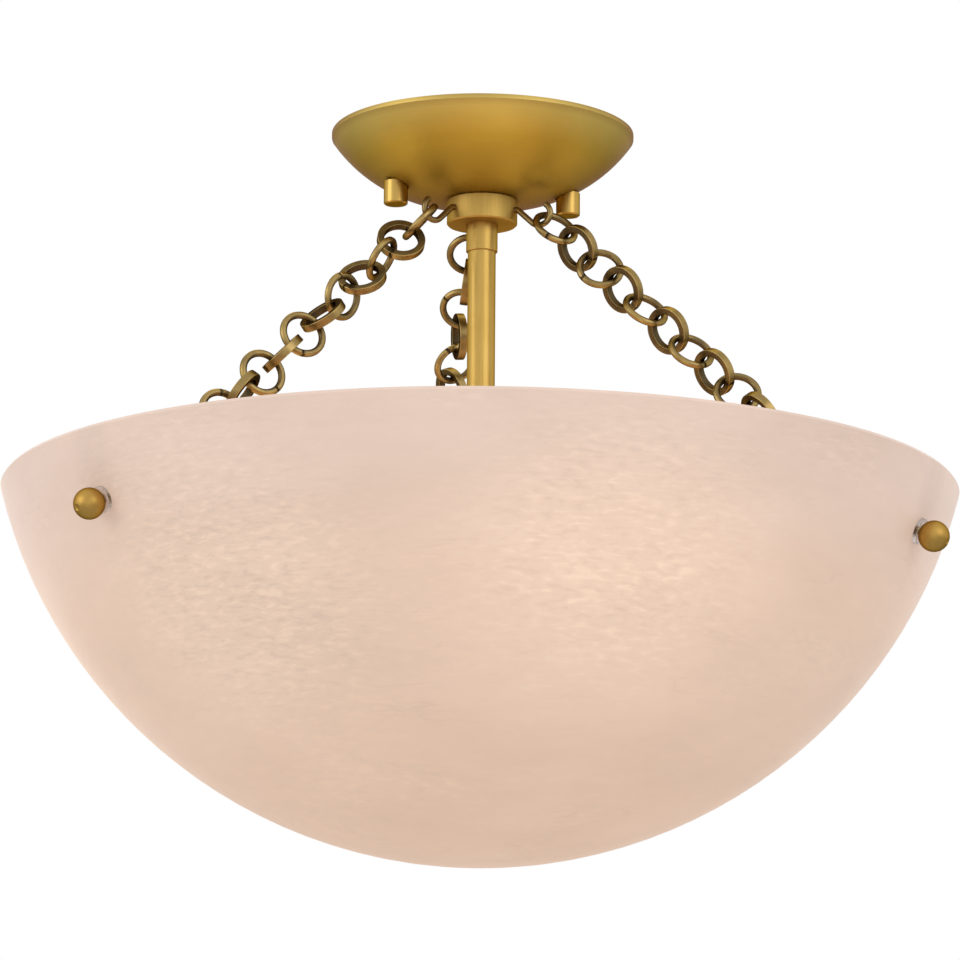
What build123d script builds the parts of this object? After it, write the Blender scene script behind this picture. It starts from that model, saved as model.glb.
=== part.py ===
from build123d import *

import math
import os

# Alabaster semi flush light, in millimetres: +Z up, origin on the ceiling in the middle of the canopy.
# Azimuths are in degrees, counted from the front (-Y) towards the right (+X).

# Canopy: a pressed dish with a cup for each knob
CANOPY_RADIUS = 65.0
CANOPY_DEPTH = 29.0
CANOPY_LIP = 1.8
CANOPY_SEAT_RADIUS = 17.0
CANOPY_BULGE = 6.2
CANOPY_WALL = 1.2

# Canopy knobs on their studs
KNOB_RADIUS = 5.15
KNOB_HEIGHT = 10.5
KNOB_DIVISION = 38.0
KNOB_AZIMUTHS = {"left": -77.0, "right": 103.0}
CUP_GAP = 0.35
CUP_FLOOR_DEPTH = 22.75
KNOB_CHAMFER = 0.5
STUD_RADIUS = 2.08
STUD_LENGTH = 31.0

# Mounting plate for an outlet box
PLATE_RADIUS = 54.0
PLATE_THICKNESS = 1.6
BOX_SCREW_SPACING = 88.9
BOX_SLOT_WIDTH = 4.6
BOX_SLOT_LENGTH = 12.0
WIRE_HOLE_RADIUS = 13.0
GROUND_SCREW_AT = (-21.0, 23.0)
GROUND_SCREW_RADIUS = 2.0
GROUND_HEAD_RADIUS = 4.0
GROUND_HEAD_HEIGHT = 2.4
GROUND_HEAD_CHAMFER = 0.8
DRIVER_SLOT_WIDTH = 1.0
DRIVER_SLOT_DEPTH = 1.0

# Hub, collar, stem and the nipple that clamps them to the canopy
NIPPLE_RADIUS = 5.0
NIPPLE_BORE = 3.25
NIPPLE_STAND = 9.0
NIPPLE_ENTRY = 7.0
NIPPLE_WASHER_HEIGHT = 1.0
HUB_RADIUS = 15.15
HUB_HEIGHT = 11.0
HUB_CHAMFER = 0.6
COLLAR_RADIUS = 6.75
COLLAR_HEIGHT = 12.0
COLLAR_CHAMFER = 0.3
STEM_RADIUS = 6.0
STEM_BORE = 4.8
STEM_ENTRY = 7.0

# Bowl: a spherical shell hung by three chains
BOWL_RIM_RADIUS = 203.2
BOWL_DEPTH = 158.0
BOWL_RIM_DROP = 158.0
BOWL_WALL = 10.0
BOWL_RIM_CHAMFER = 1.4
BOLT_ANGLE = 22.6
BOLT_HOLE_RADIUS = 2.5

# Chains of split rings: even ones of bar with eased corners, odd ones of flat bar, each turned by its own roll
CHAIN_AZIMUTHS = {"left": -51.4, "right": 68.6, "back": 188.6}
RING_LONGEST_PITCH = 14.4
RING_RADIUS = 10.25
RING_BAR_DEPTH = 2.9
RING_BAR_WIDTH = 3.4
RING_BAR_SIDES = 8
RING_SPLIT_ANGLE = 2.0
RING_ROLLS = {
    "left": (-20, 50, 135, 30, 105, 3, 72, 165, 75, 145),
    "right": (-30, 55, 125, 55, 150, 55, 145, 50, 125, 35),
    "back": (-5, 80, 165, 95, 20, 120, 30, 120, 30, 120),
}
SEAM_ANGLES = (112.0, 72.0, 245.0, 96.0, 283.0, 128.0, 255.0)

# Hooks in the hub and eye bolts through the bowl, bent from round wire
WIRE_RADIUS = 1.3
WIRE_SIDES = 8
HOOK_SEAT = 5.0
HOOK_BEND = 2.5
HOOK_BEND_STAND = 1.2
HOOK_LOOP = 4.9
HOOK_LOOP_STAND = 11.205
HOOK_LOOP_DROP = 2.713
HOOK_SWEEP = 189.0
HOOK_RING_REACH = 10.1
EYE_LOOP = 4.55
EYE_STAND = 12.246
EYE_RING_REACH = 9.197
SHANK_TAPER = 2.0
THREAD_END_CHAMFER = 0.4

# Screw-thread hardware of the same size on the studs and the eye bolts
NUT_ACROSS_FLATS = 8.7
NUT_HEIGHT = 3.2
SHANK_RADIUS = 2.08
WASHER_RADIUS = 5.5
INNER_WASHER_HEIGHT = 1.2
OUTER_WASHER_HEIGHT = 1.3

# Ball finials on the eye bolts
BALL_RADIUS = 6.5
BALL_FLAT = 5.75
BALL_BANDS = 12
BALL_DIMPLE_RADIUS = 1.5
BALL_DIMPLE_DEPTH = 0.5
BALL_BORE_DEPTH = 7.0

# Cluster at the foot of the stem
CLUSTER_RADIUS = 19.5
CLUSTER_TOP_DEPTH = 162.0
CLUSTER_HEIGHT = 19.0
CLUSTER_WALL = 1.5
CLUSTER_CHAMFER = 0.8
BOSS_RADIUS = 9.0
BOSS_WEB = 3.0
WEB_HOLE_RADIUS = 1.1
WEB_HOLE_DIVISION = 3.5
COVER_HEIGHT = 1.6
ROD_RADIUS = 1.9
ROD_STAND = 1.0
FINIAL_RADIUS = 5.0
FINIAL_HEIGHT = 8.0

# Lampholders and bulbs, on three arms between the chains
ARM_AZIMUTHS = (18.6, 138.6, 258.6)
ARM_DROOP = 15.0
ARM_ENTRY = 8.0
SOCKET_NIPPLE_START = 15.0
SOCKET_NIPPLE_END = 32.0
HOLDER_START = 24.0
HOLDER_LENGTH = 42.0
HOLDER_RADIUS = 17.5
HOLDER_WALL = 2.2
HOLDER_FLOOR = 12.0
HOLDER_CHAMFER = 2.0
SHELL_BORE = 13.3
SHELL_WALL = 0.5
SHELL_LENGTH = 27.0
CONTACT_RADIUS = 4.5
CONTACT_HEIGHT = 5.9
CONTACT_STEP = 1.0
CAP_RADIUS = 13.0
CAP_LENGTH = 25.0
CAP_TIP_HEIGHT = 1.2
CAP_INSULATOR_HEIGHT = 4.6
CAP_SHOULDER_HEIGHT = 5.8
BULB_RADIUS = 30.0
BULB_NECK_RADIUS = 12.5
BULB_NECK_LENGTH = 6.0
BULB_LENGTH = 85.0
BULB_BANDS = 12

# Clearances: of a turning piece, of a pushed-in or threaded one, and of a clearance hole
RUNNING = 0.05
SEATED = 0.02
CLEARANCE = 0.3

# Places worked out from the sizes above
SEAT_Z = -CANOPY_DEPTH
HUB_FOOT_Z = SEAT_Z - HUB_HEIGHT
COLLAR_FOOT_Z = HUB_FOOT_Z - COLLAR_HEIGHT
STEM_TOP_Z = HUB_FOOT_Z - NIPPLE_ENTRY
RIM_Z = -BOWL_RIM_DROP
SPHERE_RADIUS = (BOWL_RIM_RADIUS**2 + BOWL_DEPTH**2) / (2 * BOWL_DEPTH)
SPHERE_Z = RIM_Z - BOWL_DEPTH + SPHERE_RADIUS
INNER_RADIUS = SPHERE_RADIUS - BOWL_WALL
STEM_FOOT_Z = -CLUSTER_TOP_DEPTH - STEM_ENTRY
ARM_AXIS_Z = -CLUSTER_TOP_DEPTH - ARM_ENTRY
CAP_TIP_REACH = HOLDER_START + HOLDER_FLOOR + CONTACT_HEIGHT + 2 * RUNNING

# A chain runs straight from its hook's loop to the eye: (distance from the middle, height) of both
HOOK_Z = SEAT_Z - HUB_HEIGHT / 2
LOOP_CENTRE = (HUB_RADIUS + HOOK_LOOP_STAND, HOOK_Z - HOOK_LOOP_DROP)
EYE_REACH = INNER_RADIUS - EYE_STAND
EYE_CENTRE = (
    EYE_REACH * math.cos(math.radians(BOLT_ANGLE)),
    SPHERE_Z - EYE_REACH * math.sin(math.radians(BOLT_ANGLE)),
)
CHAIN_SLOPE = math.degrees(math.atan2(LOOP_CENTRE[1] - EYE_CENTRE[1], EYE_CENTRE[0] - LOOP_CENTRE[0]))
RING_RUN = math.dist(LOOP_CENTRE, EYE_CENTRE) - HOOK_RING_REACH - EYE_RING_REACH
RING_COUNT = math.ceil(RING_RUN / RING_LONGEST_PITCH) + 1
RING_PITCH = RING_RUN / (RING_COUNT - 1)
RING_MEAN_RADIUS = RING_RADIUS - RING_BAR_DEPTH / 2


def outward(azimuth):
    """Unit vector that points level from the middle towards an azimuth."""
    angle = math.radians(azimuth)
    return Vector(math.sin(angle), -math.cos(angle), 0)


def place(azimuth, radius, z):
    """Point at a distance from the middle and at a height."""
    return outward(azimuth) * radius + Vector(0, 0, z)


def radial_plane(azimuth):
    """Upright plane through the middle: its x runs outward and its y runs up."""
    out = outward(azimuth)
    return Plane(origin=(0, 0, 0), x_dir=out, z_dir=out.cross(Vector(0, 0, 1)))


def sloping(azimuth, drop):
    """Unit vector that points outward at an azimuth and falls by an angle."""
    angle = math.radians(drop)
    return outward(azimuth) * math.cos(angle) - Vector(0, 0, math.sin(angle))


def turned(*outline):
    """Turned piece: a closed outline of (radius, height) points, revolved about Z."""
    return revolve(Plane.XZ * make_face(Polyline(*outline, close=True)), Axis.Z)


def drum(radius, low, high, bore=0.0):
    """Upright cylinder between two heights, with an optional bore."""
    solid = Pos(0, 0, (low + high) / 2) * Cylinder(radius, high - low)
    if bore:
        solid -= Pos(0, 0, (low + high) / 2) * Cylinder(bore, high - low + 2)
    return solid


def hex_nut(low, high, across_flats=NUT_ACROSS_FLATS, bore=STUD_RADIUS + SEATED):
    """Hexagon nut between two heights, with its corners turned off at both faces."""
    corner = across_flats / math.sqrt(3)
    blank = extrude(Pos(0, 0, low) * RegularPolygon(corner, 6), high - low)
    slope = (corner - across_flats / 2) * 0.6
    blank &= turned(
        (0, low),
        (across_flats / 2, low),
        (corner, low + slope),
        (corner, high - slope),
        (across_flats / 2, high),
        (0, high),
    )
    return blank - drum(bore, low - 1, high + 1)


def arc_points(centre, radius, start, end, steps):
    """Points of an arc in a half outline, from one angle to another in degrees."""
    angles = [math.radians(start + (end - start) * i / steps) for i in range(steps + 1)]
    return [(centre[0] + radius * math.cos(a), centre[1] + radius * math.sin(a)) for a in angles]


def bent_wire(path):
    """Wire bent along a path, of a section with few sides."""
    section = Plane(origin=path @ 0, z_dir=path % 0) * RegularPolygon(WIRE_RADIUS, WIRE_SIDES)
    return sweep(section, path=path)


# Canopy and what clamps it


def dish_outline(inset):
    """Half outline of the dish, drawn in from the outside by an inset."""
    lip = Vector(CANOPY_RADIUS, -CANOPY_LIP)
    seat = Vector(CANOPY_SEAT_RADIUS, -CANOPY_DEPTH)
    half_chord = (seat - lip).length / 2
    radius = (half_chord**2 + CANOPY_BULGE**2) / (2 * CANOPY_BULGE)
    along = (seat - lip).normalized()
    middle = (lip + seat) * 0.5
    centre = middle + Vector(along.Y, -along.X) * (radius - CANOPY_BULGE)
    inner = radius - inset
    wall_x = CANOPY_RADIUS - inset
    floor_y = inset - CANOPY_DEPTH
    wall_y = centre.Y - math.sqrt(inner**2 - (wall_x - centre.X) ** 2)
    floor_x = centre.X + math.sqrt(inner**2 - (floor_y - centre.Y) ** 2) * math.copysign(1, seat.X - centre.X)
    bulge = Vector((wall_x + floor_x) / 2, (wall_y + floor_y) / 2) - centre
    bulge = centre + bulge.normalized() * inner
    return (
        Line((0, 0), (wall_x, 0))
        + Line((wall_x, 0), (wall_x, wall_y))
        + ThreePointArc((wall_x, wall_y), (bulge.X, bulge.Y), (floor_x, floor_y))
        + Line((floor_x, floor_y), (0, floor_y))
        + Line((0, floor_y), (0, 0))
    )


def canopy():
    """Pressed dish with two knob cups, and holes for the nipple and the studs."""
    outer = revolve(Plane.XZ * make_face(dish_outline(0)), Axis.Z)
    dish = outer - revolve(Plane.XZ * make_face(dish_outline(CANOPY_WALL)), Axis.Z)
    cup_radius = KNOB_RADIUS + CUP_GAP
    for azimuth in KNOB_AZIMUTHS.values():
        spot = Location(place(azimuth, KNOB_DIVISION, 0))
        cup = spot * drum(cup_radius + CANOPY_WALL, SEAT_Z, CANOPY_WALL - CUP_FLOOR_DEPTH)
        dish += cup & outer
        dish -= spot * drum(cup_radius, SEAT_Z, -CUP_FLOOR_DEPTH)
        dish -= spot * drum(STUD_RADIUS + CLEARANCE, SEAT_Z, 0)
    return dish - drum(NIPPLE_RADIUS + SEATED, SEAT_Z - 1, 0)


def canopy_knob(azimuth):
    """Plain knob with chamfered ends and a blind thread from above."""
    top = -CUP_FLOOR_DEPTH - RUNNING
    knob = drum(KNOB_RADIUS, top - KNOB_HEIGHT, top)
    knob = chamfer(knob.edges().filter_by(GeomType.CIRCLE), KNOB_CHAMFER)
    knob -= drum(STUD_RADIUS + RUNNING, -STUD_LENGTH - CLEARANCE, top)
    return Location(place(azimuth, KNOB_DIVISION, 0)) * knob


def mounting_plate():
    """Round plate with two slots for the outlet box, a wire hole and tapped holes."""
    plate = drum(PLATE_RADIUS, -PLATE_THICKNESS, 0, bore=WIRE_HOLE_RADIUS)
    slot = SlotOverall(BOX_SLOT_LENGTH, BOX_SLOT_WIDTH, rotation=90)
    for side in (-1, 1):
        plate -= Pos(0, side * BOX_SCREW_SPACING / 2, 0) * extrude(slot, -PLATE_THICKNESS)
    for azimuth in KNOB_AZIMUTHS.values():
        plate -= Location(place(azimuth, KNOB_DIVISION, 0)) * drum(STUD_RADIUS + SEATED, -PLATE_THICKNESS, 0)
    return plate - Pos(*GROUND_SCREW_AT) * drum(GROUND_SCREW_RADIUS + SEATED, -PLATE_THICKNESS, 0)


def canopy_studs():
    """Studs that hang from the plate, one for each knob."""
    stud = drum(STUD_RADIUS, -STUD_LENGTH, 0)
    stud = chamfer(stud.faces().sort_by(Axis.Z)[0].edges(), THREAD_END_CHAMFER)
    return [Location(place(a, KNOB_DIVISION, 0)) * stud for a in KNOB_AZIMUTHS.values()]


def stud_lock_nuts():
    """Nuts that lock the studs against the plate."""
    nut = hex_nut(-PLATE_THICKNESS - NUT_HEIGHT, -PLATE_THICKNESS)
    return [Location(place(a, KNOB_DIVISION, 0)) * nut for a in KNOB_AZIMUTHS.values()]


def ground_screw():
    """Pan head screw for the ground wire, with a cross slot for its driver."""
    under = -PLATE_THICKNESS
    foot = under - GROUND_HEAD_HEIGHT
    screw = drum(GROUND_SCREW_RADIUS, under, 0)
    head = drum(GROUND_HEAD_RADIUS, foot, under)
    head = chamfer(head.faces().sort_by(Axis.Z)[0].edges(), GROUND_HEAD_CHAMFER)
    screw += head - Pos(0, 0, foot) * Box(2 * GROUND_HEAD_RADIUS, DRIVER_SLOT_WIDTH, 2 * DRIVER_SLOT_DEPTH)
    return Pos(*GROUND_SCREW_AT) * screw


# Hub, collar and stem


def hub_nipple():
    """Threaded tube that runs from inside the canopy into the collar."""
    return drum(NIPPLE_RADIUS, STEM_TOP_Z, SEAT_Z + NIPPLE_STAND, bore=NIPPLE_BORE)


def nipple_washer():
    """Washer on the canopy's floor, under the lock nut."""
    floor = SEAT_Z + CANOPY_WALL
    return drum(2 * NIPPLE_RADIUS, floor, floor + NIPPLE_WASHER_HEIGHT, bore=NIPPLE_RADIUS + SEATED)


def nipple_lock_nut():
    """Lock nut that clamps the canopy between the washer and the hub."""
    low = SEAT_Z + CANOPY_WALL + NIPPLE_WASHER_HEIGHT
    return hex_nut(low, low + NUT_HEIGHT, 3.2 * NIPPLE_RADIUS, NIPPLE_RADIUS + SEATED)


def hub():
    """Drum under the canopy, with a seat for each hook."""
    body = drum(HUB_RADIUS, HUB_FOOT_Z, SEAT_Z)
    body = chamfer(body.edges().filter_by(GeomType.CIRCLE), HUB_CHAMFER)
    body -= drum(NIPPLE_RADIUS + SEATED, HUB_FOOT_Z - 1, SEAT_Z + 1)
    for azimuth in CHAIN_AZIMUTHS.values():
        seat = Plane(origin=place(azimuth, HUB_RADIUS - HOOK_SEAT, HOOK_Z), z_dir=outward(azimuth))
        body -= seat * drum(WIRE_RADIUS + SEATED, 0, 2 * HOOK_SEAT)
    return body


def hub_hook(azimuth):
    """Hook: out of the hub, straight down a slope, then under and outside an open loop."""
    corner = (HUB_RADIUS + HOOK_BEND_STAND, HOOK_Z)
    sight = math.atan2(HOOK_Z - LOOP_CENTRE[1], LOOP_CENTRE[0] - corner[0])
    fall = sight + math.asin(HOOK_LOOP / math.dist(corner, LOOP_CENTRE))
    trim = HOOK_BEND * math.tan(fall / 2)
    bend_end = (corner[0] + trim * math.cos(fall), HOOK_Z - trim * math.sin(fall))
    loop_start = (LOOP_CENTRE[0] - HOOK_LOOP * math.sin(fall), LOOP_CENTRE[1] - HOOK_LOOP * math.cos(fall))
    turn = math.degrees(fall)
    path = (
        Line((HUB_RADIUS - HOOK_SEAT, HOOK_Z), (corner[0] - trim, HOOK_Z))
        + CenterArc((corner[0] - trim, HOOK_Z - HOOK_BEND), HOOK_BEND, 90, -turn)
        + Line(bend_end, loop_start)
        + CenterArc(LOOP_CENTRE, HOOK_LOOP, 270 - turn, HOOK_SWEEP)
    )
    return bent_wire(radial_plane(azimuth) * path)


def stem_collar():
    """Collar below the hub: it takes the nipple from above and the stem from below."""
    collar = drum(COLLAR_RADIUS, COLLAR_FOOT_Z, HUB_FOOT_Z)
    collar = chamfer(collar.faces().sort_by(Axis.Z)[0].edges(), COLLAR_CHAMFER)
    collar -= drum(NIPPLE_RADIUS + SEATED, STEM_TOP_Z, HUB_FOOT_Z)
    return collar - drum(STEM_RADIUS + SEATED, COLLAR_FOOT_Z, STEM_TOP_Z)


def stem_tube():
    """Tube from the collar down into the cluster."""
    return drum(STEM_RADIUS, STEM_FOOT_Z, STEM_TOP_Z, bore=STEM_BORE)


# Chains and their eye bolts


def ring_centre(azimuth, index):
    """Centre of a chain's ring, counted from the hook."""
    reach = HOOK_RING_REACH + RING_PITCH * index
    return place(azimuth, *LOOP_CENTRE) + sloping(azimuth, CHAIN_SLOPE) * reach


def ring_normal(side, index):
    """Axis of a ring: across the chain, and rolled round it. The last two rolls go on to the chain's end."""
    azimuth = CHAIN_AZIMUTHS[side]
    along = sloping(azimuth, CHAIN_SLOPE)
    level = Vector(0, 0, 1).cross(outward(azimuth))
    rolls = RING_ROLLS[side]
    listed = index if index < len(rolls) else len(rolls) - 2 + (index - len(rolls)) % 2
    angle = math.radians(rolls[listed])
    return along.cross(level) * math.cos(angle) + level * math.sin(angle)


def split_ring(bar, seam):
    """Bar of a given section bent into a ring, with a hairline split at an angle."""
    ring = revolve(Plane.XZ * Pos(RING_MEAN_RADIUS, 0, 0) * bar, Axis.Z, 360 - RING_SPLIT_ANGLE)
    return Rot(0, 0, seam) * ring


def chain(side):
    """Chain of split rings, each through the one before it."""
    azimuth = CHAIN_AZIMUTHS[side]
    along = sloping(azimuth, CHAIN_SLOPE)
    eased = RegularPolygon(RING_BAR_DEPTH / 2, RING_BAR_SIDES, major_radius=False, rotation=180 / RING_BAR_SIDES)
    bars = (eased, Rectangle(RING_BAR_DEPTH, RING_BAR_WIDTH))
    rings = []
    for index in range(RING_COUNT):
        plane = Plane(ring_centre(azimuth, index), x_dir=along, z_dir=ring_normal(side, index))
        rings.append(plane * split_ring(bars[index % 2], SEAM_ANGLES[index % len(SEAM_ANGLES)]))
    return rings


def bolt_plane(azimuth):
    """Plane at the bowl sphere's centre whose z runs out along an eye bolt."""
    axis = sloping(azimuth, BOLT_ANGLE)
    return Plane(origin=(0, 0, SPHERE_Z), x_dir=Vector(0, 0, 1).cross(outward(azimuth)), z_dir=axis)


def eye_bolt(side):
    """Eye square to the chain's last ring, with a neck and a shank out through the wall."""
    azimuth = CHAIN_AZIMUTHS[side]
    bolt = bolt_plane(azimuth)
    across = ring_normal(side, RING_COUNT - 1)
    eye_plane = Plane(
        origin=bolt.origin + bolt.z_dir * EYE_REACH,
        x_dir=bolt.z_dir,
        z_dir=across.cross(bolt.z_dir),
    )
    eye = bent_wire(eye_plane * CenterArc((0, 0), EYE_LOOP, 0, 360))
    neck = EYE_REACH + EYE_LOOP
    end = SPHERE_RADIUS + OUTER_WASHER_HEIGHT + BALL_BORE_DEPTH - CLEARANCE
    shank = turned(
        (0, neck),
        (WIRE_RADIUS * 0.8, neck),
        (SHANK_RADIUS, neck + SHANK_TAPER),
        (SHANK_RADIUS, end - THREAD_END_CHAMFER),
        (SHANK_RADIUS - THREAD_END_CHAMFER, end),
        (0, end),
    )
    return eye + bolt * shank


def inner_seat():
    """Distance of the inner washer's outer face, where its edge meets the wall."""
    return math.sqrt(INNER_RADIUS**2 - WASHER_RADIUS**2) - SEATED


def inner_washers():
    """Washers against the bowl's inner wall."""
    washer = drum(WASHER_RADIUS, inner_seat() - INNER_WASHER_HEIGHT, inner_seat(), SHANK_RADIUS + SEATED)
    return [bolt_plane(a) * washer for a in CHAIN_AZIMUTHS.values()]


def inner_nuts():
    """Nuts that clamp the wall from inside."""
    high = inner_seat() - INNER_WASHER_HEIGHT
    nut = hex_nut(high - NUT_HEIGHT, high, bore=SHANK_RADIUS + SEATED)
    return [bolt_plane(a) * nut for a in CHAIN_AZIMUTHS.values()]


def outer_washers():
    """Clear washers between the wall and the balls."""
    low = SPHERE_RADIUS
    washer = drum(WASHER_RADIUS, low, low + OUTER_WASHER_HEIGHT, bore=SHANK_RADIUS + SEATED)
    return [bolt_plane(a) * washer for a in CHAIN_AZIMUTHS.values()]


def ball_finial(azimuth):
    """Ball with a flat and a blind thread towards the wall, and a dimple outside."""
    flat = SPHERE_RADIUS + OUTER_WASHER_HEIGHT + RUNNING
    centre = flat + BALL_FLAT
    low = -math.degrees(math.asin(BALL_FLAT / BALL_RADIUS))
    high = math.degrees(math.acos(BALL_DIMPLE_RADIUS / BALL_RADIUS))
    bore = SHANK_RADIUS + RUNNING
    ball = turned(
        (bore, flat),
        *arc_points((0, centre), BALL_RADIUS, low, high, BALL_BANDS),
        (0, centre + BALL_RADIUS - BALL_DIMPLE_DEPTH),
        (0, flat + BALL_BORE_DEPTH),
        (bore, flat + BALL_BORE_DEPTH),
    )
    return bolt_plane(azimuth) * ball


def alabaster_bowl():
    """Spherical shell with an eased rim and three holes for the eye bolts."""
    inner_rim = math.sqrt(INNER_RADIUS**2 - (RIM_Z - SPHERE_Z) ** 2)
    middle = Vector(math.cos(math.radians(-55)), math.sin(math.radians(-55)))
    centre = Vector(0, SPHERE_Z)
    outline = (
        ThreePointArc((0, SPHERE_Z - SPHERE_RADIUS), centre + middle * SPHERE_RADIUS, (BOWL_RIM_RADIUS, RIM_Z))
        + Line((BOWL_RIM_RADIUS, RIM_Z), (inner_rim, RIM_Z))
        + ThreePointArc((inner_rim, RIM_Z), centre + middle * INNER_RADIUS, (0, SPHERE_Z - INNER_RADIUS))
        + Line((0, SPHERE_Z - INNER_RADIUS), (0, SPHERE_Z - SPHERE_RADIUS))
    )
    bowl = revolve(Plane.XZ * make_face(outline), Axis.Z)
    rim = bowl.edges().filter_by(GeomType.CIRCLE).group_by(Axis.Z)[-1]
    bowl = chamfer(rim, BOWL_RIM_CHAMFER)
    hole = drum(BOLT_HOLE_RADIUS, SPHERE_RADIUS - 2 * BOWL_WALL, SPHERE_RADIUS + BOWL_WALL)
    for azimuth in CHAIN_AZIMUTHS.values():
        bowl -= bolt_plane(azimuth) * hole
    return bowl


# Cluster, lampholders and bulbs


def arm_plane(azimuth):
    """Plane on the stem's axis whose z runs out along a lamp."""
    return Plane(
        origin=(0, 0, ARM_AXIS_Z),
        x_dir=Vector(0, 0, 1).cross(outward(azimuth)),
        z_dir=sloping(azimuth, ARM_DROOP),
    )


def cluster_body():
    """Cup with a boss for the stem, a web for the cover's rod and three side holes."""
    top = -CLUSTER_TOP_DEPTH
    foot = top - CLUSTER_HEIGHT
    web_foot = STEM_FOOT_Z - BOSS_WEB
    body = drum(CLUSTER_RADIUS, foot, top) - drum(CLUSTER_RADIUS - CLUSTER_WALL, foot, top - CLUSTER_WALL)
    body = chamfer(body.edges().filter_by(GeomType.CIRCLE).group_by(Axis.Z)[-1], CLUSTER_CHAMFER)
    body += drum(BOSS_RADIUS, web_foot, top - CLUSTER_WALL / 2)
    body -= drum(STEM_RADIUS + SEATED, STEM_FOOT_Z, top + 1)
    body -= drum(ROD_RADIUS + SEATED, web_foot, STEM_FOOT_Z)
    for azimuth in ARM_AZIMUTHS:
        body -= Location(place(azimuth + 60, WEB_HOLE_DIVISION, 0)) * drum(WEB_HOLE_RADIUS, web_foot, STEM_FOOT_Z)
        body -= arm_plane(azimuth) * drum(NIPPLE_RADIUS + SEATED, CLUSTER_RADIUS / 2, 2 * CLUSTER_RADIUS)
    return body


def cluster_cover():
    """Dished cover that closes the cluster from below."""
    high = -CLUSTER_TOP_DEPTH - CLUSTER_HEIGHT
    cover = drum(CLUSTER_RADIUS, high - COVER_HEIGHT, high, bore=ROD_RADIUS + CLEARANCE)
    return chamfer(cover.faces().sort_by(Axis.Z)[0].edges().group_by(SortBy.LENGTH)[-1], CLUSTER_CHAMFER)


def cluster_rod():
    """Threaded rod from the boss's web down through the cover."""
    foot = -CLUSTER_TOP_DEPTH - CLUSTER_HEIGHT - COVER_HEIGHT - FINIAL_HEIGHT * 0.7
    return drum(ROD_RADIUS, foot, STEM_FOOT_Z + ROD_STAND)


def cluster_finial():
    """Turned finial that holds the cover on its rod."""
    high = -CLUSTER_TOP_DEPTH - CLUSTER_HEIGHT - COVER_HEIGHT
    finial = turned(
        (0, high),
        (FINIAL_RADIUS, high),
        (FINIAL_RADIUS, high - 0.25 * FINIAL_HEIGHT),
        (0.8 * FINIAL_RADIUS, high - 0.4 * FINIAL_HEIGHT),
        (0.8 * FINIAL_RADIUS, high - 0.6 * FINIAL_HEIGHT),
        (0.5 * FINIAL_RADIUS, high - 0.9 * FINIAL_HEIGHT),
        (0, high - FINIAL_HEIGHT),
    )
    return finial - drum(ROD_RADIUS + SEATED, high - 0.75 * FINIAL_HEIGHT, high + 1)


def socket_nipple(azimuth):
    """Threaded tube from the cluster into a lampholder."""
    return arm_plane(azimuth) * drum(NIPPLE_RADIUS, SOCKET_NIPPLE_START, SOCKET_NIPPLE_END, bore=NIPPLE_BORE)


def lampholder(azimuth):
    """Lampholder cup with a thick floor that takes its nipple."""
    floor = HOLDER_START + HOLDER_FLOOR
    end = HOLDER_START + HOLDER_LENGTH
    holder = drum(HOLDER_RADIUS, HOLDER_START, end)
    holder = chamfer(holder.faces().sort_by(Axis.Z)[0].edges(), HOLDER_CHAMFER)
    holder -= drum(HOLDER_RADIUS - HOLDER_WALL, floor, end)
    holder -= drum(NIPPLE_RADIUS + SEATED, HOLDER_START, SOCKET_NIPPLE_END)
    return arm_plane(azimuth) * holder


def screw_shell(azimuth):
    """Thin brass sleeve that takes the bulb's cap."""
    low = HOLDER_START + HOLDER_FLOOR
    return arm_plane(azimuth) * drum(SHELL_BORE + SHELL_WALL, low, low + SHELL_LENGTH, bore=SHELL_BORE)


def centre_contact(azimuth):
    """Contact on the lampholder's floor, stepped up to the bulb's tip."""
    low = HOLDER_START + HOLDER_FLOOR
    contact = turned(
        (0, low),
        (CONTACT_RADIUS, low),
        (CONTACT_RADIUS, low + CONTACT_STEP),
        (CONTACT_RADIUS * 0.6, low + CONTACT_HEIGHT - CONTACT_STEP),
        (CONTACT_RADIUS * 0.6, low + CONTACT_HEIGHT),
        (0, low + CONTACT_HEIGHT),
    )
    return arm_plane(azimuth) * contact


def bulb_cap(azimuth):
    """Screw cap with its tapered insulator and centre tip."""
    low = CAP_TIP_REACH
    cap = turned(
        (0, low),
        (CAP_RADIUS * 0.3, low),
        (CAP_RADIUS * 0.38, low + CAP_TIP_HEIGHT),
        (CAP_RADIUS * 0.8, low + CAP_INSULATOR_HEIGHT),
        (CAP_RADIUS, low + CAP_SHOULDER_HEIGHT),
        (CAP_RADIUS, low + CAP_LENGTH),
        (0, low + CAP_LENGTH),
    )
    return arm_plane(azimuth) * cap


def bulb_glass(azimuth):
    """Pear-shaped envelope: a neck, a flare and a round end."""
    low = CAP_TIP_REACH + CAP_LENGTH
    centre = low + BULB_LENGTH - BULB_RADIUS
    flare = -28.0
    glass = turned(
        (0, low),
        (BULB_NECK_RADIUS, low),
        (BULB_NECK_RADIUS + 0.6, low + BULB_NECK_LENGTH),
        *arc_points((0, centre), BULB_RADIUS, flare, 90, BULB_BANDS),
    )
    return arm_plane(azimuth) * glass


def save(name, solids):
    """Write one node, of one solid or of several alike ones, as a STEP file."""
    shape = Compound(solids) if isinstance(solids, list) else solids
    export_step(shape, f"parts/{name}.step")


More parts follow.
